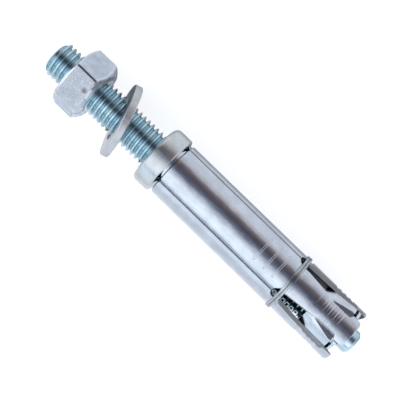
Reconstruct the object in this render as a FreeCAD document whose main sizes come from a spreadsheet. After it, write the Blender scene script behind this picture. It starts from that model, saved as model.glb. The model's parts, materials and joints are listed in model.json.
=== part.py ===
# Stud anchor: a threaded stud with nut and washer, a pressed ferrule, four leaves
# held by a wire ring, and a wedge nut that draws up between the leaves.
# X runs along the stud towards the wedge, Z points up from the lying part, and the
# origin is on the stud's axis at the middle of the ferrule's straight wall.
# All sizes are in millimetres and degrees.
import FreeCAD, Part
import math
import os

import Sketcher

doc = FreeCAD.newDocument("stud_anchor")

# Named sizes, one cell each
sheet = doc.addObject("Spreadsheet::Sheet", "sizes")
values = {
    # stud
    "stud_radius": 5.9,
    "stud_tip": -45.8,
    "tip_chamfer": 1.5,
    "stop_lip": 0.9,
    "boss_share": 0.67,
    "boss_reach": 5.0,
    "boss_chamfer": 0.9,
    "thread_clearance": 0.05,
    "thread_pitch": 1.75,
    "thread_first": 0.875,
    "thread_depth": 1.05,
    "thread_crest": 0.35,
    "thread_root": 0.4,
    # nut
    "nut_start": -37.75,
    "nut_height": 9.75,
    "nut_flats": 19.0,
    "nut_turned": 15.0,
    "nut_crown": 0.95,
    "nut_crown_depth": 1.55,
    "nut_far_crown": 2.0,
    "nut_far_depth": 2.55,
    "nut_countersink": 0.55,
    # washer
    "washer_radius": 12.0,
    "washer_clearance": 1.15,
    "washer_thickness": 2.4,
    "washer_edge": 0.25,
    "washer_middle": -17.7,
    "washer_side": -0.38,
    "washer_drop": -0.42,
    "washer_lean": 21.8,
    "washer_lean_way": 40.3,
    # leaves
    "sleeve_depth": 3.4,
    "leaf_wall": 1.4,
    "seam_gap": 0.3,
    "front_angle": 11.5,
    "neck_start": -2.0,
    "neck_step": 0.5,
    "neck_depth": 2.2,
    "shoulder_start": 3.6,
    "shoulder_round": 0.45,
    "neck_angle": 26.0,
    "corner_start": 2.9,
    "corner_length": 2.0,
    "groove_before": 1.2,
    "groove_after": 1.6,
    "groove_depth": 0.38,
    "notch_shift": 0.4,
    "notch_radius": 2.1,
    "taper_inset": 3.1,
    "taper_length": 20.4,
    "taper_first_depth": 2.82,
    "taper_last_depth": 1.8,
    "taper_gap": 0.08,
    "leaf_end": 76.4,
    "leaf_round": 0.45,
    "opening_length": 11.0,
    "opening_angle": 32.0,
    "opening_end_angle": 24.5,
    "waist_flare": 1.9,
    "waist_length": 6.1,
    "waist_angle": 20.8,
    "foot_flare": 0.8,
    "foot_length": 3.3,
    "foot_angle": 29.5,
    "foot_round": 1.3,
    "rib_inset": 12.4,
    "rib_pitch": 1.93,
    "rib_width": 1.2,
    "rib_depth": 0.22,
    "score_gap": 2.0,
    "score_width": 0.35,
    # ferrule
    "ferrule_start": -3.7,
    "ferrule_length": 6.5,
    "ferrule_wall": 1.15,
    "ferrule_top": 1.5,
    "ferrule_hole_clearance": 0.45,
    "ferrule_bore_clearance": 0.15,
    "ferrule_round": 1.7,
    "ferrule_hem": 0.8,
    # ring
    "ring_gap": 0.6,
    "ring_wire": 0.45,
    "ring_clearance": 0.12,
    "ring_pitch": 1.91,
    "ring_lean": 1.7,
    # wedge nut
    "wedge_inset": 1.7,
    "wedge_length": 12.5,
    "wedge_nose_length": 2.9,
    "wedge_nose_wall": 0.8,
    "wedge_shoulder_depth": 1.3,
    "wedge_depth": 0.1,
    "wedge_rim_width": 0.9,
    "wedge_slot_depth": 2.4,
    "wedge_slot_width": 0.95,
    "wedge_collar_depth": 0.4,
    "wedge_collar_width": 0.9,
}
row = 1
for name, value in values.items():
    sheet.set("A%d" % row, name)
    sheet.set("B%d" % row, str(value))
    sheet.setAlias("B%d" % row, name)
    row += 1
doc.recompute()

# Sizes that follow from the named ones, so that every fit keeps its clearance
follows = {
    "thread_bore": "(stud_radius + thread_clearance)",
    "boss_radius": "(stud_radius * boss_share)",
    "washer_bore": "(stud_radius + washer_clearance)",
    "shield_radius": "(stud_radius + sleeve_depth)",
    "shield_inner": "(shield_radius - leaf_wall)",
    "neck_radius": "(shield_radius - neck_step)",
    "neck_inner": "(shield_radius - neck_depth)",
    "groove_radius": "(shield_radius - groove_depth)",
    "taper_first": "(shield_radius - taper_first_depth)",
    "taper_last": "(shield_radius - taper_last_depth)",
    "ferrule_hole": "(stud_radius + ferrule_hole_clearance)",
    "ferrule_bore": "(neck_radius + ferrule_bore_clearance)",
    "ferrule_radius": "(ferrule_bore + ferrule_wall)",
    "ferrule_end": "(ferrule_start + ferrule_length)",
    "ring_radius": "(groove_radius + ring_clearance + ring_wire)",
    "nut_end": "(nut_start + nut_height)",
    "nut_corner": "(nut_flats / 2 / cos(30))",
    "wedge_nose": "(thread_bore + wedge_nose_wall)",
    "wedge_shoulder": "(shield_radius - wedge_shoulder_depth)",
    "wedge_radius": "(shield_radius - wedge_depth)",
    "wedge_slot": "(shield_radius - wedge_slot_depth)",
    "wedge_collar": "(shield_radius - wedge_collar_depth)",
    "wedge_end": "(leaf_end - wedge_inset)",
    "wedge_start": "(wedge_end - wedge_length)",
    "wedge_nose_end": "(wedge_start + wedge_nose_length)",
    "wedge_slot_end": "(wedge_end - wedge_collar_width)",
    "wedge_rim": "(wedge_slot_end - wedge_slot_width)",
    "wedge_full": "(wedge_rim - wedge_rim_width)",
    "stud_stop": "(wedge_end - stop_lip)",
    "wedge_stop": "(stud_stop + thread_clearance)",
    "boss_end": "(wedge_end + boss_reach)",
    "taper_end": "(leaf_end - taper_inset)",
    "taper_start": "(taper_end - taper_length)",
    "foot_start": "(leaf_end - foot_length)",
    "waist_end": "(foot_start - foot_flare)",
    "waist_start": "(waist_end - waist_length)",
    "opening_end": "(waist_start - waist_flare)",
    "opening_start": "(opening_end - opening_length)",
    "rib_start": "(leaf_end - rib_inset)",
    "score_start": "(rib_start - score_gap)",
    "ring_middle": "(opening_start - ring_gap)",
    "groove_start": "(ring_middle - groove_before)",
    "groove_end": "(ring_middle + groove_after)",
    "notch_middle": "(ring_middle - notch_shift)",
    "thread_half": "((thread_pitch - thread_crest) / 2)",
    "thread_count": "(floor((stud_stop - stud_tip - thread_first - thread_half) / thread_pitch) + 1)",
}


def words(text, change):
    """The text with every word passed through a function."""
    out = []
    word = ""
    for letter in text + " ":
        if letter.isalnum() or letter == "_":
            word += letter
        else:
            out.append(change(word) if word else "")
            out.append(letter)
            word = ""
    return "".join(out).strip()


def plain(text):
    """The text with every size that follows written out in named ones."""
    while any(word in text for word in follows):
        written = words(text, lambda word: follows.get(word, word))
        if written == text:
            break
        text = written
    return text


def cell(text):
    """An expression that reads the sheet."""
    return words(plain(text), lambda word: "sizes." + word if word in values else word)


def number(text):
    """The present value of an expression."""
    result = sheet.evalExpression(plain(text))
    return float(getattr(result, "Value", result))


def plane(body, role):
    """The origin plane of a body with this role."""
    for feature in body.Origin.OriginFeatures:
        if feature.Role == role:
            return feature
    raise RuntimeError("no plane " + role)


def hold(sketch, kind, line, value, expression):
    """Holds the start of a line at a named distance from the sketch's origin."""
    spot = sketch.addConstraint(Sketcher.Constraint(kind, -1, 1, line, 1, value))
    sketch.setExpression("Constraints[%d]" % spot, cell(expression))


def outline(body, name, role, loops):
    """A sketch of closed loops; each corner is held by two named distances."""
    sketch = body.newObject("Sketcher::SketchObject", name)
    sketch.AttachmentSupport = [(plane(body, role), "")]
    sketch.MapMode = "FlatFace"
    first = 0
    for loop in loops:
        count = len(loop)
        spots = [FreeCAD.Vector(number(across), number(up), 0) for across, up in loop]
        for index in range(count):
            after = spots[(index + 1) % count]
            sketch.addGeometry(Part.LineSegment(spots[index], after), False)
        for index in range(count):
            line = first + index
            follow = first + (index + 1) % count
            sketch.addConstraint(Sketcher.Constraint("Coincident", line, 2, follow, 1))
        for index in range(count):
            across, up = loop[index]
            hold(sketch, "DistanceX", first + index, spots[index].x, across)
            hold(sketch, "DistanceY", first + index, spots[index].y, up)
        first += count
    return sketch


def turned(name, loop, angle="360"):
    """A body turned about X from one loop of (x, radius) corners."""
    body = doc.addObject("PartDesign::Body", name)
    sketch = outline(body, name + "_profile", "XZ_Plane", [loop])
    turn = body.newObject("PartDesign::Revolution", name + "_turn")
    turn.Profile = sketch
    turn.ReferenceAxis = (sketch, ["H_Axis"])
    turn.Midplane = True
    turn.Angle = 360.0
    turn.setExpression("Angle", cell(angle))
    sketch.Visibility = False
    return body, turn


def pocket(body, sketch, name):
    """Cuts a sketch through the whole body, both ways."""
    cut = body.newObject("PartDesign::Pocket", name)
    cut.Profile = sketch
    cut.Type = "ThroughAll"
    cut.Midplane = True
    sketch.Visibility = False
    return cut


def rounded(body, feature, name, x, radius, size):
    """Rounds the edges that run round X at one place."""
    doc.recompute()
    names = []
    for index, edge in enumerate(feature.Shape.Edges):
        curve = edge.Curve
        if not isinstance(curve, Part.Circle):
            continue
        near = abs(curve.Center.x - number(x)) < 0.01
        if near and abs(curve.Radius - number(radius)) < 0.01:
            names.append("Edge%d" % (index + 1))
    fillet = body.newObject("PartDesign::Fillet", name)
    fillet.Base = (feature, names)
    fillet.setExpression("Radius", cell(size))
    return fillet


def about_x(piece, expression):
    """Turns a piece about X by a named angle."""
    piece.Placement.Rotation = FreeCAD.Rotation(FreeCAD.Vector(1, 0, 0), -1)
    piece.setExpression("Placement.Rotation.Angle", "-1 * (" + cell(expression) + ")")


# Stud: ring grooves at the thread's pitch, and a reduced end past the wedge nut
stud, stud_turn = turned("stud", [
    ("stud_tip", "0"),
    ("stud_tip", "stud_radius - tip_chamfer"),
    ("stud_tip + tip_chamfer * 0.9", "stud_radius"),
    ("stud_stop", "stud_radius"),
    ("stud_stop", "boss_radius"),
    ("boss_end - boss_chamfer", "boss_radius"),
    ("boss_end", "boss_radius - boss_chamfer"),
    ("boss_end", "0"),
])
groove_sketch = outline(stud, "thread_profile", "XZ_Plane", [[
    ("stud_tip + thread_first - thread_half", "stud_radius"),
    ("stud_tip + thread_first - thread_root / 2", "stud_radius - thread_depth"),
    ("stud_tip + thread_first + thread_root / 2", "stud_radius - thread_depth"),
    ("stud_tip + thread_first + thread_half", "stud_radius"),
    ("stud_tip + thread_first + thread_half", "stud_radius + thread_clearance"),
    ("stud_tip + thread_first - thread_half", "stud_radius + thread_clearance"),
]])
groove = stud.newObject("PartDesign::Groove", "thread_groove")
groove.Profile = groove_sketch
groove.ReferenceAxis = (groove_sketch, ["H_Axis"])
groove.Angle = 360.0
groove_sketch.Visibility = False
grooves = stud.newObject("PartDesign::LinearPattern", "thread_grooves")
grooves.Originals = [groove]
grooves.Direction = (groove_sketch, ["H_Axis"])
grooves.setExpression("Length", cell("thread_pitch * (thread_count - 1)"))
grooves.setExpression("Occurrences", cell("thread_count"))
stud.Tip = grooves

# Nut: a hexagon met by a turned outside, bored and countersunk for the stud
hexagon = doc.addObject("Part::Prism", "nut_hexagon")
hexagon.Polygon = 6
hexagon.setExpression("Circumradius", cell("nut_corner"))
hexagon.setExpression("Height", cell("nut_height"))
hexagon.Placement.Rotation = FreeCAD.Rotation(FreeCAD.Vector(0, 1, 0), 90)
hexagon.setExpression("Placement.Base.x", cell("nut_start"))
crown, crown_turn = turned("nut_outside", [
    ("nut_start", "thread_bore + nut_countersink"),
    ("nut_start", "nut_corner - nut_crown_depth"),
    ("nut_start + nut_crown * 1.05", "nut_corner + nut_crown_depth * 0.05"),
    ("nut_end - nut_far_crown * 1.05", "nut_corner + nut_far_depth * 0.05"),
    ("nut_end", "nut_corner - nut_far_depth"),
    ("nut_end", "thread_bore + nut_countersink"),
    ("nut_end - nut_countersink", "thread_bore"),
    ("nut_start + nut_countersink", "thread_bore"),
])
nut = doc.addObject("Part::MultiCommon", "hex_nut")
nut.Shapes = [hexagon, crown]
nut.Refine = True
about_x(nut, "nut_turned")

# Washer: plain, loose on the stud, leaning as far as its bore lets it
washer, washer_turn = turned("washer", [
    ("washer_thickness / -2", "washer_bore"),
    ("washer_thickness / -2", "washer_radius - washer_edge"),
    ("washer_thickness / -2 + washer_edge", "washer_radius"),
    ("washer_thickness / 2 - washer_edge", "washer_radius"),
    ("washer_thickness / 2", "washer_radius - washer_edge"),
    ("washer_thickness / 2", "washer_bore"),
])
lean_way = math.radians(values["washer_lean_way"])
lean_axis = FreeCAD.Vector(0, math.sin(lean_way), math.cos(lean_way))
washer.Placement.Rotation = FreeCAD.Rotation(lean_axis, values["washer_lean"])
washer.setExpression("Placement.Base.x", cell("washer_middle"))
washer.setExpression("Placement.Base.y", cell("washer_side"))
washer.setExpression("Placement.Base.z", cell("washer_drop"))
washer.setExpression("Placement.Rotation.Angle", cell("washer_lean"))

# Ferrule: a pressed cup with a hole for the stud
ferrule, ferrule_turn = turned("ferrule", [
    ("ferrule_start", "ferrule_hole"),
    ("ferrule_start", "ferrule_radius"),
    ("ferrule_end", "ferrule_radius"),
    ("ferrule_end", "ferrule_bore"),
    ("ferrule_start + ferrule_top", "ferrule_bore"),
    ("ferrule_start + ferrule_top", "ferrule_hole"),
])
ferrule_edge = rounded(ferrule, ferrule_turn, "ferrule_edge",
                       "ferrule_start", "ferrule_radius", "ferrule_round")
ferrule_hem = rounded(ferrule, ferrule_edge, "ferrule_lower_edge",
                      "ferrule_end", "ferrule_radius", "ferrule_hem")


def rib_corners():
    """Corners of the four cross grooves on a leaf's waist, along its outside."""
    corners = []
    for step in range(4):
        start = "rib_start + rib_pitch * %d" % step
        corners.append((start, "shield_radius"))
        corners.append((start + " + rib_depth", "shield_radius - rib_depth"))
        corners.append((start + " + rib_width - rib_depth", "shield_radius - rib_depth"))
        corners.append((start + " + rib_width", "shield_radius"))
    return corners


def side_loops(side):
    """What is cut off one side of a leaf: at its neck, and from the ring to its foot."""
    far = "shield_radius * 1.3 * %d" % side

    def wide(angle):
        return "shield_radius * sin(%s) * %d" % (angle, side)

    neck = [
        ("neck_start - 1", far),
        ("neck_start - 1", wide("neck_angle")),
        ("corner_start", wide("neck_angle")),
    ]
    for part in (20, 40, 60, 80):
        share = "(sin(%d) + 1 - cos(%d)) / 2" % (part, part)
        neck.append((
            "corner_start + corner_length * (1 - cos(%d))" % part,
            "shield_radius * (sin(neck_angle) + %s * (sin(45.5) - sin(neck_angle))) * %d"
            % (share, side)))
    neck.append(("corner_start + corner_length", far))
    opening = [
        ("opening_start", far),
        ("opening_start", wide("opening_angle")),
        ("opening_end", wide("opening_end_angle")),
        ("waist_start", wide("waist_angle")),
        ("waist_end", wide("waist_angle")),
        ("foot_start", wide("foot_angle")),
        ("leaf_end - foot_round", wide("foot_angle")),
    ]
    for part in (30, 60, 85):
        opening.append((
            "leaf_end - foot_round * (1 - sin(%d))" % part,
            "(shield_radius * sin(foot_angle) - foot_round * (1 - cos(%d))) * %d"
            % (part, side)))
    inner = "(shield_radius * sin(foot_angle) - foot_round) * %d" % side
    opening.append(("leaf_end + 2", inner))
    opening.append(("leaf_end + 2", far))
    return [neck, opening]


def leaf(name, quarter):
    """One leaf: a turned strip, cut to its outline, made flat inside and notched."""
    body, strip = turned(name + "_strip", [
        ("neck_start", "neck_inner"),
        ("neck_start", "neck_radius"),
        ("shoulder_start", "neck_radius"),
        ("shoulder_start + shoulder_round", "shield_radius"),
        ("groove_start", "shield_radius"),
        ("groove_start", "groove_radius"),
        ("groove_end", "groove_radius"),
        ("groove_end", "shield_radius"),
        ("score_start", "shield_radius"),
        ("score_start + score_width / 2", "shield_radius - rib_depth"),
        ("score_start + score_width", "shield_radius"),
    ] + rib_corners() + [
        ("leaf_end - leaf_round", "shield_radius"),
        ("leaf_end - leaf_round * 0.3", "shield_radius - leaf_round * 0.3"),
        ("leaf_end", "shield_radius - leaf_round"),
        ("leaf_end", "taper_first - taper_gap"),
        ("taper_start", "taper_first - taper_gap"),
        ("taper_start", "shield_inner"),
        ("shoulder_start + leaf_wall", "shield_inner"),
        ("shoulder_start + leaf_wall", "neck_inner"),
    ], "90 deg - 2 * asin(seam_gap / 2 / shield_radius)")
    sides = outline(body, name + "_sides", "XY_Plane", side_loops(1) + side_loops(-1))
    pocket(body, sides, name + "_outline")
    under = outline(body, name + "_under", "XZ_Plane", [[
        ("taper_start - 0.01", "0"),
        ("taper_start - 0.01", "taper_first"),
        ("taper_end", "taper_last"),
        ("leaf_end + 2", "taper_last"),
        ("leaf_end + 2", "0"),
    ]])
    pocket(body, under, name + "_flat")
    drills = []
    for side in (45, -45):
        drill = doc.addObject("Part::Cylinder", name + "_notch")
        drill.setExpression("Radius", cell("notch_radius"))
        drill.setExpression("Height", cell("shield_radius * 1.5"))
        drill.Placement.Rotation = FreeCAD.Rotation(FreeCAD.Vector(1, 0, 0), side)
        drill.setExpression("Placement.Base.x", cell("notch_middle"))
        drills.append(drill)
    both = doc.addObject("Part::MultiFuse", name + "_notches")
    both.Shapes = drills
    cut = doc.addObject("Part::Cut", name)
    cut.Base = body
    cut.Tool = both
    about_x(cut, "front_angle + %d" % (90 * quarter))
    return cut


leaves = [leaf("shield_segment_%d" % (quarter + 1), quarter) for quarter in range(4)]

# Ring: two turns of wire side by side in the leaves' groove
turns = []
for step in (-1, 1):
    wire = doc.addObject("Part::Torus", "ring_turn")
    wire.setExpression("Radius1", cell("ring_radius"))
    wire.setExpression("Radius2", cell("ring_wire"))
    wire.Placement.Rotation = FreeCAD.Rotation(FreeCAD.Vector(0, 1, 0), 90)
    wire.setExpression("Placement.Base.x", cell("ring_wire * ring_pitch / 2 * %d" % step))
    turns.append(wire)
ring = doc.addObject("Part::MultiFuse", "retaining_ring")
ring.Shapes = turns
ring.Placement.Rotation = FreeCAD.Rotation(FreeCAD.Vector(0, 0, 1), 1)
ring.setExpression("Placement.Base.x", cell("ring_middle"))
ring.setExpression("Placement.Rotation.Angle", cell("ring_lean"))

# Wedge nut: a turned nose and taper with four flats under the leaves
wedge_body, wedge_turn = turned("wedge_turned", [
    ("wedge_start", "thread_bore"),
    ("wedge_start", "wedge_nose"),
    ("wedge_nose_end", "wedge_shoulder"),
    ("wedge_full", "wedge_radius"),
    ("wedge_rim", "wedge_radius"),
    ("wedge_rim", "wedge_slot"),
    ("wedge_slot_end", "wedge_slot"),
    ("wedge_slot_end", "wedge_collar"),
    ("wedge_end", "wedge_collar"),
    ("wedge_end", "boss_radius + thread_clearance"),
    ("wedge_stop", "boss_radius + thread_clearance"),
    ("wedge_stop", "thread_bore"),
])
flats = []
for quarter in range(4):
    flat_body = doc.addObject("PartDesign::Body", "wedge_flat_%d" % (quarter + 1))
    flat_sketch = outline(flat_body, "wedge_flat_profile_%d" % (quarter + 1), "XZ_Plane", [[
        ("taper_start", "taper_first - taper_gap"),
        ("taper_end", "taper_last - taper_gap"),
        ("wedge_end + 2", "taper_last - taper_gap"),
        ("wedge_end + 2", "wedge_radius * 1.3"),
        ("taper_start", "wedge_radius * 1.3"),
    ]])
    pad = flat_body.newObject("PartDesign::Pad", "wedge_flat_pad_%d" % (quarter + 1))
    pad.Profile = flat_sketch
    pad.Midplane = True
    pad.setExpression("Length", cell("wedge_radius * 3"))
    flat_sketch.Visibility = False
    about_x(flat_body, "front_angle + %d" % (90 * quarter))
    flats.append(flat_body)
flat_set = doc.addObject("Part::MultiFuse", "wedge_flats")
flat_set.Shapes = flats
wedge = doc.addObject("Part::Cut", "expander_cone")
wedge.Base = wedge_body
wedge.Tool = flat_set

doc.recompute()

# Check every object, then write one file per piece
for item in doc.Objects:
    if "Invalid" in item.State or "Error" in item.State:
        raise RuntimeError("bad object " + item.Name + " " + str(item.State))
    if hasattr(item, "Shape") and not item.Shape.isNull() and not item.Shape.isValid():
        raise RuntimeError("bad shape " + item.Name)

os.makedirs("parts", exist_ok=True)
nodes = {
    "stud": stud,
    "hex_nut": nut,
    "washer": washer,
    "ferrule": ferrule,
    "retaining_ring": ring,
    "expander_cone": wedge,
}
for index, piece in enumerate(leaves):
    nodes["shield_segment_%d" % (index + 1)] = piece
for name, piece in nodes.items():
    piece.Label = name
    if len(piece.Shape.Solids) != 1:
        raise RuntimeError("%s has %d solids" % (name, len(piece.Shape.Solids)))
    piece.Shape.exportStep("parts/%s.step" % name)
    box = piece.Shape.BoundBox
    print("%-18s %7.2f..%7.2f  %6.2f..%6.2f  %6.2f..%6.2f  %8.1f mm3" % (
        name, box.XMin, box.XMax, box.YMin, box.YMax, box.ZMin, box.ZMax, piece.Shape.Volume))
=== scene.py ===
# %% [markdown]
# # A stud anchor in Blender
# A stud anchor is a threaded stud that pulls a wedge nut up between four pressed
# leaves, until they grip the wall of a hole. The solid shapes come from the CAD frame.
# This lesson adds what CAD leaves out: the climbing thread, the wound wire ring, the
# zinc finishes, the light and the camera.

# %% Start: load the frame and keep its box
import json
import math

import bpy
import bmesh
from mathutils import Matrix, Vector

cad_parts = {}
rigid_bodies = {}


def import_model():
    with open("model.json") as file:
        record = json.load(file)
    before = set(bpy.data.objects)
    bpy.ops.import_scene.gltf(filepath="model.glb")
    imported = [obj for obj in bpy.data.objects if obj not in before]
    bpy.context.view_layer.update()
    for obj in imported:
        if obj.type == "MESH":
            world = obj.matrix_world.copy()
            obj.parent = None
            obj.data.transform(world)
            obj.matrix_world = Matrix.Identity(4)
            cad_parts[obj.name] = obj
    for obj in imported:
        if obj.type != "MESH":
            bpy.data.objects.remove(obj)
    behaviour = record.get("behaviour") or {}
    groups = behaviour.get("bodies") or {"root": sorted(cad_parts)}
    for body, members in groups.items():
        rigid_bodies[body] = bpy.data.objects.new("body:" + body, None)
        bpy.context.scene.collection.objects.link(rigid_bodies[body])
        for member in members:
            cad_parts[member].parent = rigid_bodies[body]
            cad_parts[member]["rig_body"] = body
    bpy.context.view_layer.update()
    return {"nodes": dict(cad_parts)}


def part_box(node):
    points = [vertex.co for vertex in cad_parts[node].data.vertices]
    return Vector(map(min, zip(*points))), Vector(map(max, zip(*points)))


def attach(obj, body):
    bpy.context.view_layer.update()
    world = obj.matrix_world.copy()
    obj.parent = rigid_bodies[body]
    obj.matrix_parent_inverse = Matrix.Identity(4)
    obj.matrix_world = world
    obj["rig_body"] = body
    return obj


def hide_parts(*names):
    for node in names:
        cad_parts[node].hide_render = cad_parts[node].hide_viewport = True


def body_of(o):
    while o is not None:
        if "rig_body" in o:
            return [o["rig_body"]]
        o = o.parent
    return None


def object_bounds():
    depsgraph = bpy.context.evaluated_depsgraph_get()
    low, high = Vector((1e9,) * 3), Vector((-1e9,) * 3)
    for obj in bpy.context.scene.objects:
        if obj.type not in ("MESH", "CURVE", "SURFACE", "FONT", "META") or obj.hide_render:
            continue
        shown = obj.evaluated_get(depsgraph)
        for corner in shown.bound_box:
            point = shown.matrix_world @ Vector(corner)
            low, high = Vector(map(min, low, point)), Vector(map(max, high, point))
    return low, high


MM = 0.001
WHITE = (1, 1, 1, 1)

for leftover in list(bpy.data.objects):
    bpy.data.objects.remove(leftover)
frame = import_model()
nodes = frame["nodes"]
print("pieces:", sorted(nodes))

# %% [markdown]
# Node trees hold a lot of arithmetic. Each math node could be added and linked by
# hand, but a small class lets a formula be written as plain Python: each operator
# adds one math node and links it up. Marks fade in and out by steps, and a pair of
# values says where a step begins and where it is whole. Lengths are in metres.

# %% Formulas in node trees


class Field:
    """A socket or number inside a node tree that can be used in formulas."""

    def __init__(self, tree, value):
        self.tree = tree
        self.value = value

    def math(self, operation, *others, clamp=False):
        """What one math node makes of this field and the others."""
        made = self.tree.nodes.new("ShaderNodeMath")
        made.operation = operation
        made.use_clamp = clamp
        for place, item in enumerate((self,) + others):
            plug(self.tree, item, made.inputs[place])
        return Field(self.tree, made.outputs[0])

    def __add__(self, other):
        return self.math("ADD", other)

    def __sub__(self, other):
        return self.math("SUBTRACT", other)

    def __rsub__(self, other):
        return Field(self.tree, other).math("SUBTRACT", self)

    def __mul__(self, other):
        return self.math("MULTIPLY", other)

    def __truediv__(self, other):
        return self.math("DIVIDE", other)

    def __abs__(self):
        return self.math("ABSOLUTE")

    def low(self, other):
        return self.math("MINIMUM", other)

    def high(self, other):
        return self.math("MAXIMUM", other)

    def step(self, start, end):
        """0 at start and before it, 1 at end and past it, straight in between."""
        return ((self - start) / (end - start)).math("ADD", 0.0, clamp=True)


def plug(tree, item, socket):
    """Links a field or a socket, or sets a plain value."""
    if isinstance(item, Field):
        item = item.value
    if isinstance(item, bpy.types.NodeSocket):
        tree.links.new(item, socket)
    else:
        socket.default_value = item


def add(tree, kind, ins=None, **settings):
    """A node with its settings, and inputs given by name or place."""
    made = tree.nodes.new(kind)
    for name, value in settings.items():
        setattr(made, name, value)
    for key, value in (ins or {}).items():
        plug(tree, value, made.inputs[key])
    return made


def xyz(where):
    """The x, y and z of a coordinate or a direction as fields."""
    tree = where.id_data
    parts = add(tree, "ShaderNodeSeparateXYZ", {0: where})
    return [Field(tree, socket) for socket in parts.outputs]


def reach(first, second):
    """How far two steps at a right angle reach together."""
    return (first * first + second * second).math("SQRT")


# %% [markdown]
# Zinc plate is a thin bright metal skin. Its colour shifts in soft blotches, its
# polish changes along the drawing direction, and fine scratches catch the light. Edges
# are lighter: partly rubbed wear, partly a painted highlight. One function makes every
# finish from noise on object coordinates, so no picture is needed and the pattern stays
# put on the piece.

# %% Zinc
CLOUD_DETAIL = (4.0, 0.55)
STREAK_DETAIL = (5.0, 0.6)
SCRATCH_DETAIL = (3.0, 0.6)
DRAWN_OUT = (0.12, 1, 1)
CLOUD_SHARE = 0.7
STREAK_SHARE = 0.3
COLOUR_RANGE = (0.36, 0.64)
POLISH_RANGE = (0.3, 0.7)
EDGE_SAMPLES = 6
EDGE_TURN = (0.996, 0.97)
# Near-white colour for the edges: partly rubbed wear, partly a painted highlight.
WORN_EDGE_HIGHLIGHT_COLOUR = (0.98, 0.99, 1.0, 1)
SCRATCHES_PER_GRAIN = 4
SCRATCH_DEPTH = 0.1 * MM
STREAK_HEIGHT = 0.6
SCRATCH_HEIGHT = 0.4


def ramp(tree, factor, stops, interpolation="EASE"):
    """A colour ramp from (place, colour) stops."""
    made = add(tree, "ShaderNodeValToRGB", {0: factor})
    made.color_ramp.interpolation = interpolation
    for index, (place, colour) in enumerate(stops):
        if index < 2:
            stop = made.color_ramp.elements[index]
            stop.position = place
        else:
            stop = made.color_ramp.elements.new(place)
        stop.color = (*colour, 1.0)
    return made.outputs["Color"]


def noise(tree, where, scale, detail=3.0, rough=0.5, stretch=(1, 1, 1)):
    """Noise on object coordinates, in features per metre, stretched by axis."""
    turned = add(tree, "ShaderNodeMapping", {"Vector": where, "Scale": stretch})
    made = add(tree, "ShaderNodeTexNoise", {
        "Vector": turned.outputs[0], "Scale": scale, "Detail": detail, "Roughness": rough})
    return Field(tree, made.outputs["Fac"])


def blend(tree, factor, colour, other):
    """The first colour, giving way to the other where the factor is 1."""
    made = add(tree, "ShaderNodeMix", {0: factor, 6: colour}, data_type="RGBA")
    plug(tree, other, made.inputs[7])
    return made.outputs[2]


def bump(tree, height, depth, normal, strength=1.0):
    """A normal that is tilted as if the surface had this height times the depth."""
    made = add(tree, "ShaderNodeBump", {
        "Strength": strength, "Distance": depth, "Height": height, "Normal": normal})
    return made.outputs[0]


def zinc(name, dark, light, polish, blotch=250.0, grain=900.0, bumps=0.05,
         edge=0.25, edge_wear_and_highlight=0.5, extra=None):
    """A zinc finish between two colours, with a range of roughness.

    Blotches and grain are in features per metre, and edge is the rounding of the
    edges in millimetres. The extra function adds the marks of one kind of piece: it
    changes colour and roughness, and may give a form whose height is in millimetres.
    """
    material = bpy.data.materials.new(name)
    material.use_nodes = True
    material["slot"] = name
    tree = material.node_tree
    where = add(tree, "ShaderNodeTexCoord").outputs["Object"]
    clouds = noise(tree, where, blotch, *CLOUD_DETAIL)
    streaks = noise(tree, where, grain, *STREAK_DETAIL, DRAWN_OUT)
    scratches = noise(tree, where, grain * SCRATCHES_PER_GRAIN, *SCRATCH_DETAIL)
    mixed = (clouds * CLOUD_SHARE + streaks * STREAK_SHARE).step(*COLOUR_RANGE)
    colour = ramp(tree, mixed, [(0.0, dark), (1.0, light)])
    rough = streaks.step(*POLISH_RANGE) * (polish[1] - polish[0]) + polish[0]
    rounded = add(tree, "ShaderNodeBevel", {"Radius": edge * MM}, samples=EDGE_SAMPLES)
    normal = rounded.outputs[0]
    unrounded = add(tree, "ShaderNodeNewGeometry").outputs["Normal"]
    turn = add(tree, "ShaderNodeVectorMath", {0: normal, 1: unrounded},
               operation="DOT_PRODUCT").outputs["Value"]
    # Edges are blended towards a near-white colour: partly rubbed wear, partly a painted
    # highlight.
    rub = Field(tree, turn).step(*EDGE_TURN) * edge_wear_and_highlight
    rough = rough * (1.0 - rub)
    colour = blend(tree, rub, colour, WORN_EDGE_HIGHLIGHT_COLOUR)
    form = None
    if extra:
        colour, rough, form = extra(tree, where, colour, rough)
    if form is not None:
        normal = bump(tree, form, MM, normal)
    texture = streaks * STREAK_HEIGHT + scratches * SCRATCH_HEIGHT
    normal = bump(tree, texture, SCRATCH_DEPTH, normal, bumps)
    shader = tree.nodes["Principled BSDF"]
    shader.inputs["Metallic"].default_value = 1.0
    plug(tree, colour, shader.inputs["Base Color"])
    plug(tree, rough, shader.inputs["Roughness"])
    plug(tree, normal, shader.inputs["Normal"])
    print("finish:", name)
    return material


# %% [markdown]
# The stud's thread is bright on its crests, and its groove is made darker and bluer with
# painted shade. Two materials could meet on the flanks, but the distance from the
# stud's axis already tells crest from groove, so one formula shades both.

# %% Stud finish
THREAD_STOP = 73.8 * MM
STOP_FADE = 0.1 * MM
GROOVE_RADII = (5.6 * MM, 5.0 * MM)
GROOVE_SHADE_SHARE = 0.6
# Painted shade: the thread's groove is darkened towards this colour.
GROOVE_SHADE_COLOUR = (0.18, 0.34, 0.41, 1)


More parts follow.
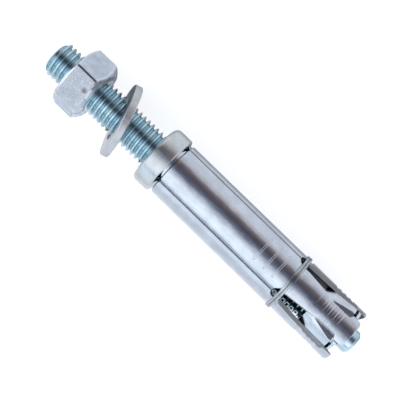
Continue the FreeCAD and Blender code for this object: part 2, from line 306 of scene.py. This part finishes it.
def painted_groove_shade(tree, where, colour, rough):
    """Painted shade that makes the thread's groove darker and bluer."""
    x, y, z = xyz(where)
    on_thread = x.step(THREAD_STOP + STOP_FADE, THREAD_STOP - STOP_FADE)
    mask = reach(y, z).step(*GROOVE_RADII) * on_thread
    # Painted shade in the groove.
    return blend(tree, mask * GROOVE_SHADE_SHARE, colour, GROOVE_SHADE_COLOUR), rough, None


stud_zinc = zinc("stud_zinc", (0.56, 0.76, 0.84), (0.85, 0.98, 1.00), (0.14, 0.28),
                 edge=0.06, extra=painted_groove_shade)

# %% [markdown]
# The nut shows the most wear. Its front flat is speckled and has a brown rub, and the
# side towards the washer is stained. The end of the flat is polished and carries a
# painted highlight, and its upper edge carries a painted dark reflection. These marks could
# be painted on an image. Here each one is a distance from a named place, broken up by
# noise, so it stays sharp at any size.

# %% Nut finish
NUT_FLAT = math.radians(-15)
NUT_APOTHEM = 9.5 * MM
NUT_CORNER = NUT_APOTHEM * math.tan(math.radians(30))
FLAT_HEIGHTS = (NUT_APOTHEM - 0.1 * MM, NUT_APOTHEM - 0.04 * MM)
SPECKS_PER_METRE = 2900.0
SPECK_RANGE = (0.68, 0.34)
SPECK_COLOUR = (0.50, 0.50, 0.53, 1)
RUB_X = -30.5 * MM
RUB_Y = -1.6 * MM
RUB_REACH = 1.1 * MM
RUB_BREAK = 2.2
RUB_RANGE = (0.1, 0.6)
RUB_SHARE = 0.8
RUB_COLOUR = (0.34, 0.27, 0.22, 1)
RUB_ROUGH = 0.2
STAINS_PER_METRE = 700.0
STAIN_RANGE = (0.56, 0.66)
STAIN_X = (-30.4 * MM, -29.0 * MM)
STAIN_SHARE = 0.7
STAIN_COLOUR = (0.22, 0.18, 0.15, 1)
HIGHLIGHT_END_X = (-36.95 * MM, -37.25 * MM)
SHINE_POLISH = 0.8
# Painted reflection: a dark line along the edge above the front flat.
CREASE_PLACE = NUT_CORNER - 0.1 * MM
CREASE_WIDTH = (0.34 * MM, 0.2 * MM)
CREASE_RADII = (10.4 * MM, 10.6 * MM)
CREASE_Z = (0.0, MM)
EDGE_REFLECTION_SHARE = 0.85
EDGE_REFLECTION_COLOUR = (0.05, 0.05, 0.06, 1)


def worn_flat_with_painted_light(tree, where, colour, rough):
    """The nut's front flat: speckled and rubbed, polished with a painted highlight at its
    end, and a painted dark reflection along its edge.
    """
    x, y, z = xyz(where)
    height = y * math.sin(NUT_FLAT) + z * math.cos(NUT_FLAT)
    across = y * math.cos(NUT_FLAT) - z * math.sin(NUT_FLAT)
    flat = height.step(*FLAT_HEIGHTS)
    speck = noise(tree, where, SPECKS_PER_METRE)
    colour = blend(tree, flat * speck.step(*SPECK_RANGE), colour, SPECK_COLOUR)
    rub = 1.0 - reach(x - RUB_X, y - RUB_Y) / RUB_REACH + (speck - 0.5) * RUB_BREAK
    rub = rub.step(*RUB_RANGE) * flat
    colour = blend(tree, rub * RUB_SHARE, colour, RUB_COLOUR)
    stain = noise(tree, where, STAINS_PER_METRE).step(*STAIN_RANGE) * x.step(*STAIN_X)
    colour = blend(tree, stain * STAIN_SHARE, colour, STAIN_COLOUR)
    # Painted highlight: the end of the flat is blended to white, and its roughness also
    # drops.
    shine = flat * x.step(*HIGHLIGHT_END_X)
    colour = blend(tree, shine, colour, WHITE)
    # Painted reflection: a nearly black line along the flat's upper edge stands in for the
    # dark band that the rounded edge mirrors.
    dark_edge_reflection = abs(across - CREASE_PLACE).step(*CREASE_WIDTH)
    dark_edge_reflection = dark_edge_reflection * reach(y, z).step(*CREASE_RADII) * z.step(*CREASE_Z)
    colour = blend(tree, dark_edge_reflection * EDGE_REFLECTION_SHARE, colour, EDGE_REFLECTION_COLOUR)
    return colour, (rough + rub * RUB_ROUGH) * (1.0 - shine * SHINE_POLISH), None


nut_zinc = zinc("nut_zinc", (0.62, 0.66, 0.73), (0.80, 0.85, 0.92), (0.32, 0.46),
                blotch=420.0, bumps=0.15, edge=1.2, edge_wear_and_highlight=0.8, extra=worn_flat_with_painted_light)

# %% [markdown]
# The washer's rim is bright, and its two faces are darker towards the upper edge. A
# face can be told from the rim by the direction that it faces, which is simpler than
# a second material slot.

# %% Washer finish
FACE_TURN = (0.8, 0.9)
DARKENING_Y = (-4 * MM, 3 * MM)
DARKENING_SHARE = 0.9
# The colour that the faces are darkened towards, near the upper edge.
DARKENING_COLOUR = (0.20, 0.24, 0.26, 1)


def facing(tree):
    """The x, y and z of the direction that the surface faces."""
    return xyz(add(tree, "ShaderNodeTexCoord").outputs["Normal"])


def darker_upper_faces(tree, where, colour, rough):
    """The washer's faces, made darker towards its upper edge."""
    face = abs(facing(tree)[0]).step(*FACE_TURN)
    face_darkening = face * xyz(where)[1].step(*DARKENING_Y) * DARKENING_SHARE
    return blend(tree, face_darkening, colour, DARKENING_COLOUR), rough, None


washer_zinc = zinc("washer_zinc", (0.68, 0.66, 0.65), (0.84, 0.83, 0.83), (0.38, 0.52),
                   edge=0.2, extra=darker_upper_faces)

# %% [markdown]
# The ferrule is a pressed collar with one pale, matter patch low on its front. The
# patch fades out from its middle, at its own rate along the stud and across it.

# %% Ferrule finish
PATCH_X = 1.1 * MM
PATCH_Y = -2.1 * MM
PATCH_LENGTH = 0.9 * MM
PATCH_WIDTH = 2.6 * MM
PATCH_FADE = (0.0, 0.5)
PATCH_Z = (4 * MM, 6 * MM)
PATCH_SHARE = 0.7
PATCH_COLOUR = (0.97, 0.96, 0.92, 1)
PATCH_ROUGH = 0.1


def pale_patch(tree, where, colour, rough):
    """A pale, matter patch low on the ferrule's front."""
    x, y, z = xyz(where)
    along = 1.0 - abs((x - PATCH_X) / PATCH_LENGTH)
    across = 1.0 - abs((y - PATCH_Y) / PATCH_WIDTH)
    mask = along.low(across).step(*PATCH_FADE) * z.step(*PATCH_Z)
    colour = blend(tree, mask * PATCH_SHARE, colour, PATCH_COLOUR)
    return colour, rough + mask * PATCH_ROUGH, None


ferrule_zinc = zinc("ferrule_zinc", (0.71, 0.72, 0.72), (0.86, 0.87, 0.88), (0.22, 0.36),
                    extra=pale_patch)

# %% [markdown]
# The four leaves are pressed from sheet, so their faces are softly dented, the edges
# along their seams are coined down and their cut edges are rough. Their insides carry
# painted shade. The front leaf also has three slim slots pressed into it. All of this is
# far finer than the leaf itself, so it is bump and colour in one finish.

# %% Leaf finish
FRONT_ANGLE = math.radians(11.5)
HALF_LEAF = math.radians(45)
SEAM_ENDS = (4.2 * MM, 53.0 * MM)
SEAM_FADE = 0.6 * MM
COIN_WIDTH = (0.5 * MM, 0.1 * MM)
COIN_DEPTH = 0.26
DENTS_PER_METRE = 160.0
DENT_DETAIL = (2.5, 0.5)
DENT_STRETCH = (0.8, 1, 1)
DENT_DEPTH = 0.2
CUT_TURN = (0.86, 0.74)
CUT_LEAN = (0.5, 0.3)
CUT_X = (52 * MM, 54 * MM)
CUT_SHARE = 0.7
CUT_COLOUR = (0.72, 0.69, 0.66, 1)
CUT_ROUGH = 0.35
# Painted shade: surfaces that face the stud's axis are made nearly black.
INSIDE_SHADE_TURN = (0.0, -0.3)
INSIDE_SHADE_COLOUR = (0.05, 0.09, 0.105, 1)


def leaf_marks(tree, where, colour, rough):
    """Coined edges along the seams, soft dents, painted shade on the insides, and cut
    edges.
    """
    x, y, z = xyz(where)
    along, side, up = facing(tree)
    radius = reach(y, z)
    outwards = (side * y + up * z) / radius
    turn = y.math("ARCTAN2", z) - FRONT_ANGLE
    from_seam = (HALF_LEAF - turn.math("PINGPONG", HALF_LEAF)) * radius
    start, end = SEAM_ENDS
    within = x.step(start, start + SEAM_FADE) * x.step(end, end - SEAM_FADE)
    coin = from_seam.step(*COIN_WIDTH) * within
    cut = outwards.step(*CUT_TURN) * abs(along).step(*CUT_LEAN) * x.step(*CUT_X)
    colour = blend(tree, cut * CUT_SHARE, colour, CUT_COLOUR)
    # Painted shade on the insides of the leaves.
    colour = blend(tree, outwards.step(*INSIDE_SHADE_TURN), colour, INSIDE_SHADE_COLOUR)
    dents = noise(tree, where, DENTS_PER_METRE, *DENT_DETAIL, DENT_STRETCH)
    form = dents * DENT_DEPTH - coin * COIN_DEPTH
    return colour, rough + cut * CUT_ROUGH, form


SLOT_PLACES = (40.1 * MM, 44.0 * MM, 47.6 * MM)
SLOT_ENDS = (-2.0 * MM, 5.3 * MM)
SLOT_HALF = 0.29 * MM
SLOT_LINE = 0.2 * MM
SLOT_DEPTH = 0.06
SLOT_Z = (4 * MM, 5 * MM)
SLOT_SHARE = 0.6
SLOT_COLOUR = (0.96, 0.97, 1.0, 1)
SLOT_ROUGH = 0.5


def slot_marks(tree, where, colour, rough):
    """The marks of a leaf, and three slim pressed slots across it."""
    colour, rough, form = leaf_marks(tree, where, colour, rough)
    x, y, z = xyz(where)
    beyond = y - y.high(SLOT_ENDS[0]).low(SLOT_ENDS[1])
    mask = Field(tree, 0.0)
    for middle in SLOT_PLACES:
        from_middle = reach(x - middle, beyond)
        mask = mask.high(1.0 - abs(from_middle - SLOT_HALF) / SLOT_LINE)
    mask = mask * z.step(*SLOT_Z)
    colour = blend(tree, mask * SLOT_SHARE, colour, SLOT_COLOUR)
    return colour, rough + mask * SLOT_ROUGH, form - mask * SLOT_DEPTH


leaf_finish = {
    "name": "shield_zinc",
    "dark": (0.71, 0.74, 0.80),
    "light": (0.83, 0.86, 0.92),
    "polish": (0.08, 0.17),
    "bumps": 0.12,
    "edge": 0.2,
}
shield_zinc = zinc(extra=leaf_marks, **leaf_finish)
marked_zinc = zinc(extra=slot_marks, **leaf_finish)

# %% [markdown]
# The spring wire is darker and smoother than the plated pieces, and the wedge nut is
# plain bright zinc with barely rounded edges. Neither needs marks of its own.

# %% Ring and wedge nut finishes
ring_wire = zinc("ring_wire", (0.48, 0.49, 0.51), (0.66, 0.67, 0.69), (0.12, 0.22),
                 edge=0.02)
wedge_zinc = zinc("wedge_zinc", (0.72, 0.76, 0.80), (0.90, 0.93, 0.98), (0.18, 0.32),
                  edge=0.15)

# %% [markdown]
# The thread and the ring each follow a rule, so a geometry tree makes them from named
# sizes. The tree is run once and its result is kept as a plain mesh, with slivers
# dissolved and faces turned outwards.

# %% Geometry trees
SLIVER = 0.001 * MM


def new_tree(name, sizes):
    """A geometry tree with one named input for each size."""
    tree = bpy.data.node_groups.new(name, "GeometryNodeTree")
    tree.interface.new_socket("Geometry", in_out="OUTPUT", socket_type="NodeSocketGeometry")
    for size in sizes:
        tree.interface.new_socket(size, in_out="INPUT", socket_type="NodeSocketFloat")
    inside = add(tree, "NodeGroupInput")
    return tree, {size: Field(tree, inside.outputs[size]) for size in sizes}


def finished(tree, geometry, material):
    """Ends a geometry tree with real geometry and its material."""
    real = add(tree, "GeometryNodeRealizeInstances", {0: geometry})
    given = add(tree, "GeometryNodeSetMaterial", {0: real.outputs[0]})
    given.inputs["Material"].default_value = material
    add(tree, "NodeGroupOutput", {0: given.outputs[0]})


def show(made):
    """Puts an object into the scene."""
    bpy.context.scene.collection.objects.link(made)
    return made


def bake(name, tree, sizes, sharp):
    """Runs a geometry tree and keeps its result as a plain mesh object.

    Edges that turn by more than sharp, in degrees, stay sharp.
    """
    holder = bpy.data.objects.new(name + "_rule", bpy.data.meshes.new(name + "_rule"))
    show(holder)
    modifier = holder.modifiers.new("rule", "NODES")
    modifier.node_group = tree
    for item in tree.interface.items_tree:
        if item.in_out == "INPUT":
            modifier[item.identifier] = float(sizes[item.name])
    bpy.context.view_layer.update()
    ready = holder.evaluated_get(bpy.context.evaluated_depsgraph_get())
    mesh = bpy.data.meshes.new_from_object(ready)
    holder.modifiers.remove(modifier)
    bpy.data.objects.remove(holder)
    work = bmesh.new()
    work.from_mesh(mesh)
    bmesh.ops.dissolve_degenerate(work, dist=SLIVER, edges=work.edges)
    bmesh.ops.recalc_face_normals(work, faces=work.faces)
    if work.calc_volume(signed=True) < 0:
        bmesh.ops.reverse_faces(work, faces=work.faces)
    open_edges = sum(1 for item in work.edges if not item.is_manifold)
    work.to_mesh(mesh)
    work.free()
    mesh.shade_smooth()
    mesh.set_sharp_from_angle(angle=math.radians(sharp))
    print(name, "faces:", len(mesh.polygons), "open edges:", open_edges)
    return show(bpy.data.objects.new(name, mesh))


# %% [markdown]
# The stud carries a metric thread: a ridge that climbs one pitch each turn. It could
# be modelled with a screw modifier, but a grid is more exact. Every row of the grid
# is one line along the ridge, so the crest and root stay crisp. The rows are sheared
# by one pitch round the stud, and what passes the stud's ends is pushed back on them.

# %% Thread sizes
stud_low, stud_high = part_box("stud")
thread_sizes = {
    "tip": stud_low.x,
    "stop": THREAD_STOP,
    "end": stud_high.x,
    "crest": 5.9 * MM,
    "root": 4.83 * MM,
    "pitch": 1.75 * MM,
    "chamfer": 1.5 * MM,
    "boss": 3.953 * MM,
    "boss chamfer": 0.9 * MM,
}
AROUND = 48
PER_PITCH = 14
END_ROWS = 6
turns = (thread_sizes["stop"] - thread_sizes["tip"]) / thread_sizes["pitch"]
THREAD_ROWS = math.ceil((turns + 1) * PER_PITCH) + 1
print("thread turns: %.1f, rows: %d" % (turns, THREAD_ROWS))

# %% [markdown]
# The profile is a share of the pitch: a narrow flat crest, a flank, and a flat root.
# The flank is half straight and half eased, which rounds its two ends a little. Near
# the tip the crest gives way to a chamfer.

# %% Thread profile
CREST_HALF = 0.09
FLANK_SHARE = 0.296
EASED_SHARE = 0.5
CHAMFER_SLOPE = 1.11

tree, size = new_tree("thread_rule", thread_sizes)
grid = add(tree, "GeometryNodeMeshGrid", {
    "Vertices X": THREAD_ROWS + END_ROWS, "Vertices Y": AROUND + 1})
index = Field(tree, add(tree, "GeometryNodeInputIndex").outputs[0])
row = (index / (AROUND + 1)).math("FLOOR")
column = index - row * (AROUND + 1)
share = column / AROUND
climb = (row - 1) / PER_PITCH - share
free_x = size["tip"] + climb * size["pitch"]
thread_x = free_x.high(size["tip"]).low(size["stop"])
phase = ((thread_x - size["tip"]) / size["pitch"] + share + 0.5).math("FRACT")
ridge = (abs(phase - 0.5) - CREST_HALF) / FLANK_SHARE
flank = ridge.math("MULTIPLY", 1.0, clamp=True)
eased = flank * flank * (3.0 - flank * 2.0)
depth = flank * (1.0 - EASED_SHARE) + eased * EASED_SHARE
thread_r = size["crest"] - depth * (size["crest"] - size["root"])
chamfer_r = size["crest"] - size["chamfer"] + (thread_x - size["tip"]) * CHAMFER_SLOPE
thread_r = thread_r.low(chamfer_r)
print("thread depth: %.2f mm" % ((thread_sizes["crest"] - thread_sizes["root"]) / MM))

# %% [markdown]
# The last rows of the grid make the plain end past the thread: a step down, a short
# boss with its own chamfer, and a flat end. The first and last rows shrink to a point
# on the axis, so merging their points closes the solid.

# %% Thread
MERGE_WITHIN = 0.004 * MM


def pick(tree, place, choices):
    """One of several values by a whole number."""
    made = add(tree, "GeometryNodeIndexSwitch", data_type="FLOAT")
    while len(made.index_switch_items) < len(choices):
        made.index_switch_items.new()
    plug(tree, place, made.inputs[0])
    for number, choice in enumerate(choices):
        plug(tree, choice, made.inputs[number + 1])
    return Field(tree, made.outputs[0])


end_row = (row - THREAD_ROWS).high(0)
boss_x = size["end"] - size["boss chamfer"]
boss_r = size["boss"] - size["boss chamfer"]
x = pick(tree, end_row, [
    thread_x, size["stop"], boss_x, size["end"], size["end"], size["end"]])
r = pick(tree, end_row, [
    thread_r, size["boss"], size["boss"], boss_r, boss_r / 2, 0.0])
r = r * (1.0 - row.math("LESS_THAN", 0.5))
angle = share * math.tau
spot = add(tree, "ShaderNodeCombineXYZ", {
    0: x, 1: r * angle.math("SINE"), 2: r * angle.math("COSINE")})
placed = add(tree, "GeometryNodeSetPosition", {
    "Geometry": grid.outputs["Mesh"], "Position": spot.outputs[0]})
joined = add(tree, "GeometryNodeMergeByDistance", {
    "Geometry": placed.outputs[0], "Distance": MERGE_WITHIN})
finished(tree, joined.outputs[0], stud_zinc)
thread = bake("stud_thread", tree, thread_sizes, sharp=25)
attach(thread, "stud")
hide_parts("stud")

# %% [markdown]
# The ring that holds the leaves is one springy wire wound more than one and a half
# times round them. A spiral curve with a round profile makes it, and it leans a
# little, as it does in its groove. It is turned until its two ends lie at the back,
# so that the front shows two wires and the ends stay clear of the groove's walls.

# %% Ring
ring_sizes = {
    "radius": 9.49 * MM,
    "wire": 0.45 * MM,
    "advance": 0.9 * MM,
    "middle": 52.7 * MM,
    "lean": math.radians(2.9),
    "turns": 1.62,
}
STEPS_PER_TURN = 64
WIRE_SIDES = 14
QUARTER_TURN = math.pi / 2


def transformed(tree, geometry, turn=(0, 0, 0), shift=(0, 0, 0)):
    """Geometry that is turned about x, y and z, and then shifted along them."""
    made = add(tree, "GeometryNodeTransform", {0: geometry})
    for name, (x, y, z) in (("Rotation", turn), ("Translation", shift)):
        vector = add(tree, "ShaderNodeCombineXYZ", {0: x, 1: y, 2: z})
        plug(tree, vector.outputs[0], made.inputs[name])
    return made.outputs[0]


tree, size = new_tree("ring_rule", ring_sizes)
length = size["advance"] * size["turns"]
coil = add(tree, "GeometryNodeCurveSpiral", {
    "Resolution": STEPS_PER_TURN, "Rotations": size["turns"],
    "Start Radius": size["radius"], "End Radius": size["radius"], "Height": length})
profile = add(tree, "GeometryNodeCurvePrimitiveCircle", {
    "Resolution": WIRE_SIDES, "Radius": size["wire"]})
wire = add(tree, "GeometryNodeCurveToMesh", {
    0: coil.outputs[0], 1: profile.outputs[0], "Fill Caps": True})
ends_back = (size["turns"] / 2 - 1.0) * math.tau
centred = transformed(tree, wire.outputs[0], (0, 0, ends_back), (0, 0, length * -0.5))
laid = transformed(tree, centred, (0, QUARTER_TURN, 0))
seated = transformed(tree, laid, (0, 0, size["lean"]), (size["middle"], 0, 0))
finished(tree, seated, ring_wire)
ring = bake("wire_ring", tree, ring_sizes, sharp=40)
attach(ring, body_of(nodes["retaining_ring"])[0])
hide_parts("retaining_ring")

# %% [markdown]
# The other pieces keep their CAD meshes, because their edges are exact already. They
# only get smooth shading where faces meet at a shallow angle, and a finish.

# %% Finishes on the CAD pieces
SMOOTH_BELOW = math.radians(28)
finish_of = {
    "hex_nut": nut_zinc,
    "washer": washer_zinc,
    "ferrule": ferrule_zinc,
    "shield_segment_1": marked_zinc,
    "shield_segment_2": shield_zinc,
    "shield_segment_3": shield_zinc,
    "shield_segment_4": shield_zinc,
    "expander_cone": wedge_zinc,
}
for name, material in finish_of.items():
    mesh = nodes[name].data
    mesh.materials.clear()
    mesh.materials.append(material)
    mesh.shade_smooth()
    mesh.set_sharp_from_angle(angle=SMOOTH_BELOW)
print("finished:", sorted(finish_of))

# %% [markdown]
# The anchor lies in a white surround with a dark band overhead, so the bright metal
# shows long soft stripes. Lamps and cards could make them, but what a surface that
# curves round the stud mirrors depends on its angle alone. So the world is one ramp
# over that angle, from the zenith towards +Y, and only the camera sees plain white.

# %% Light
FULL_TURN = 360
SURROUND = [
    (-135, (0.62, 0.70, 0.78)),
    (-100, (0.76, 0.88, 1.00)),
    (-78, (0.80, 0.92, 1.04)),
    (-65, (0.74, 0.86, 0.98)),
    (-60, (0.16, 0.24, 0.34)),
    (-56, (0.74, 0.85, 0.98)),
    (-46, (1.02, 1.12, 1.22)),
    (-31, (1.00, 1.08, 1.17)),
    (-20, (0.90, 0.97, 1.05)),
    (-11, (0.66, 0.72, 0.81)),
    (-1, (0.40, 0.45, 0.53)),
    (4, (0.25, 0.27, 0.34)),
    (10, (0.13, 0.14, 0.18)),
    (22, (0.075, 0.075, 0.10)),
    (32, (0.12, 0.10, 0.11)),
    (41, (0.20, 0.17, 0.18)),
    (50, (0.46, 0.45, 0.48)),
    (65, (0.63, 0.66, 0.73)),
    (85, (0.66, 0.73, 0.80)),
    (105, (0.60, 0.69, 0.77)),
    (150, (0.58, 0.65, 0.73)),
]

scene = bpy.context.scene
scene.view_settings.view_transform = "Standard"
world = bpy.data.worlds.new("surround")
scene.world = world
world.use_nodes = True
tree = world.node_tree
tree.nodes.clear()
way = add(tree, "ShaderNodeTexCoord").outputs["Generated"]
side, up = xyz(way)[1:]
around = side.math("ARCTAN2", up) / math.tau + 0.5
stops = [(degrees / FULL_TURN + 0.5, colour) for degrees, colour in SURROUND]
glow = ramp(tree, around, stops, "LINEAR")
seen = add(tree, "ShaderNodeLightPath").outputs["Is Camera Ray"]
sky = add(tree, "ShaderNodeBackground", {
    "Color": blend(tree, seen, glow, WHITE), "Strength": 1.0})
add(tree, "ShaderNodeOutputWorld", {0: sky.outputs[0]})
print("surround stops:", len(SURROUND))

# %% [markdown]
# The floor is a pale sheet just below the anchor. It glows for the camera, so that it
# looks nearly white. In what the metal mirrors it is darker, with a lighter band
# along the anchor's lower side and a dark one along its upper side, because a plain
# even floor would leave those sides flat.

# %% Floor
FLOOR_HALF = 0.6
FLOOR_MIDDLE = 0.02
FLOOR_GAP = 0.1 * MM
FLOOR_COLOUR = (0.85, 0.86, 0.88, 1)
FLOOR_ROUGH = 0.9
FLOOR_GLOW = 0.72
MIRRORED_GLOW = 0.22
LIGHTER = 0.12
LIGHT_RISE = (-34 * MM, -24 * MM)
LIGHT_FALL = (0.0, -8 * MM)
DARKER = 0.2
DARK_RISE = (4 * MM, 10 * MM)
DARK_FALL = (30 * MM, 19 * MM)

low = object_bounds()[0]
work = bmesh.new()
bmesh.ops.create_grid(work, x_segments=1, y_segments=1, size=FLOOR_HALF)
floor_mesh = bpy.data.meshes.new("floor")
work.to_mesh(floor_mesh)
work.free()
floor = show(bpy.data.objects.new("floor", floor_mesh))
floor.location = (FLOOR_MIDDLE, 0, low.z - FLOOR_GAP)
plain = bpy.data.materials.new("floor_white")
plain.use_nodes = True
tree = plain.node_tree
shader = tree.nodes["Principled BSDF"]
shader.inputs["Base Color"].default_value = FLOOR_COLOUR
shader.inputs["Roughness"].default_value = FLOOR_ROUGH
ray = add(tree, "ShaderNodeLightPath")
seen = Field(tree, ray.outputs["Is Camera Ray"])
mirrored = Field(tree, ray.outputs["Is Glossy Ray"])
across = xyz(add(tree, "ShaderNodeTexCoord").outputs["Object"])[1]
light_band = across.step(*LIGHT_RISE) * across.step(*LIGHT_FALL)
dark_band = across.step(*DARK_RISE) * across.step(*DARK_FALL)
mirrored = mirrored * (light_band * LIGHTER - dark_band * DARKER + MIRRORED_GLOW)
shine = add(tree, "ShaderNodeEmission", {
    "Color": WHITE, "Strength": seen * FLOOR_GLOW + mirrored})
both = add(tree, "ShaderNodeAddShader", {0: shader.outputs[0], 1: shine.outputs[0]})
tree.links.new(both.outputs[0], tree.nodes["Material Output"].inputs[0])
floor_mesh.materials.append(plain)
print("floor at z = %.2f mm" % (floor.location.z / MM))

# %% [markdown]
# The camera looks almost straight down, with a long lens, and is turned so that the
# anchor runs from the upper left to the lower right. It could be turned by hand, but
# where it stands, what it looks at and how far it rolls are easier to change.

# %% Camera
LOOK_AT = Vector((16.33, -0.9, 0.0)) * MM
STAND = Vector((29.66, -0.9, 336.0)) * MM
ROLL = math.radians(44.18)
LENS = 99.9
SENSOR = 36
NEAREST = 0.01
FARTHEST = 5

camera = show(bpy.data.objects.new("camera", bpy.data.cameras.new("camera")))
back = (STAND - LOOK_AT).normalized()
upward = Vector((-math.sin(ROLL), math.cos(ROLL), 0))
upward = (upward - back * upward.dot(back)).normalized()
right = upward.cross(back)
stance = Matrix((right, upward, back)).transposed().to_4x4()
camera.matrix_world = Matrix.Translation(STAND) @ stance
camera.data.lens = LENS
camera.data.sensor_width = SENSOR
camera.data.clip_start = NEAREST
camera.data.clip_end = FARTHEST
scene.camera = camera
print("camera stands %.0f mm above the axis" % (STAND.z / MM))
